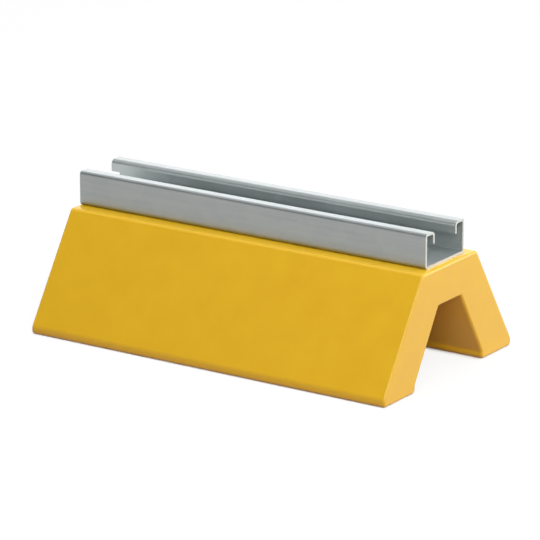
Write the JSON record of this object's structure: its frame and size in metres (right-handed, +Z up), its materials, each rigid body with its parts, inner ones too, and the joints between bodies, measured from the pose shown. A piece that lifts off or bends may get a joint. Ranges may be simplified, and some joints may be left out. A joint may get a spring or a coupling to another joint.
{
  "type": "rooftop pipe support",
  "caption": "Low A-shaped foam block that stands on a roof with a drainage tunnel under it and a slotted steel strut channel along its top for clamping pipes.",
  "frame": {"origin": "on the roof surface, in the middle of the block's footprint", "axes": "+X along the block and its channel, +Z up from the roof, Y across the block"},
  "size_m": [0.244, 0.138, 0.0876],
  "materials": {
    "coated_foam": "satin coat on rigid foam",
    "galvanised_strip": "galvanised, dull satin",
    "zinc_plate": "bright zinc plate"
  },
  "bodies": {
    "root": {"foam_block": "coated_foam", "strut_channel": "galvanised_strip", "flat_washers": "zinc_plate", "hold_down_screws": "zinc_plate"}
  },
  "joints": []
}
